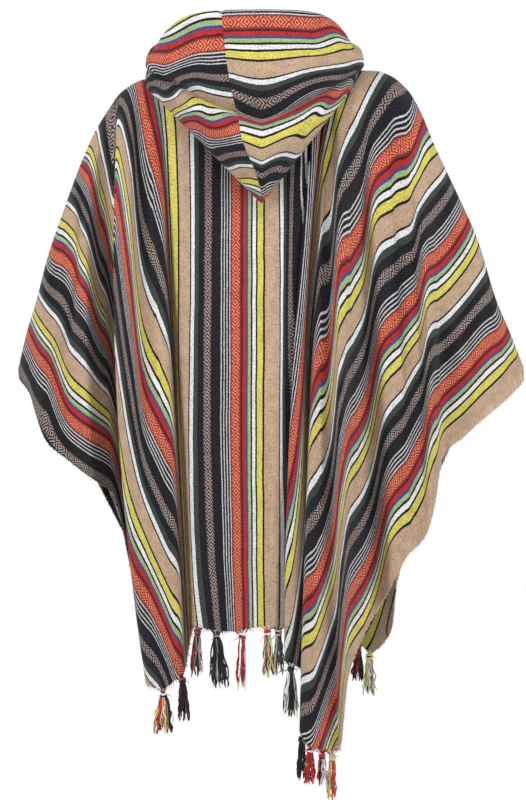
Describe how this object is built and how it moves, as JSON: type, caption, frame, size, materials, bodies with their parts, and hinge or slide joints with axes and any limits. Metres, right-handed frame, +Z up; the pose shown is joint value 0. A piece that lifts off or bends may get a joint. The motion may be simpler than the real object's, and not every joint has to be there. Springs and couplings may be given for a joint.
{
  "type": "hooded poncho",
  "caption": "Hooded poncho of striped woven cotton with knotted fringe, worn form with lowered arms, hood lying on the back; hollow, neck, hem and cuffs open.",
  "frame": {"origin": "centre of the base of the neck, level with the shoulder line, where the wearer's shoulders carry the poncho", "axes": "+Z up, +Y the way the wearer faces, +X to the wearer's right; the hood lies on the -Y side"},
  "size_m": [0.8499, 0.3474, 1.2888],
  "materials": {
    "body_cloth": "brushed cotton blanket cloth in lengthwise stripes of speckled tan, navy, red, yellow, green and white, with small woven diamond chains",
    "hood_cloth": "the same striped cloth, with the stripes running across the hood",
    "fringe_yarn": "loose cotton warp yarns in the colours of the stripes above them, knotted into tassels"
  },
  "bodies": {
    "root": {"back_panel": "body_cloth", "front_panel": "body_cloth", "hood_left": "hood_cloth", "hood_right": "hood_cloth", "fringe_back_01": "fringe_yarn", "fringe_back_02": "fringe_yarn", "fringe_back_03": "fringe_yarn", "fringe_back_04": "fringe_yarn", "fringe_back_05": "fringe_yarn", "fringe_back_06": "fringe_yarn", "fringe_back_07": "fringe_yarn", "fringe_back_08": "fringe_yarn", "fringe_back_09": "fringe_yarn", "fringe_back_10": "fringe_yarn", "fringe_back_11": "fringe_yarn", "fringe_back_12": "fringe_yarn", "fringe_front_01": "fringe_yarn", "fringe_front_02": "fringe_yarn", "fringe_front_03": "fringe_yarn", "fringe_front_04": "fringe_yarn", "fringe_front_05": "fringe_yarn", "fringe_front_06": "fringe_yarn", "fringe_front_07": "fringe_yarn", "fringe_front_08": "fringe_yarn", "fringe_front_09": "fringe_yarn", "fringe_front_10": "fringe_yarn"}
  },
  "joints": []
}
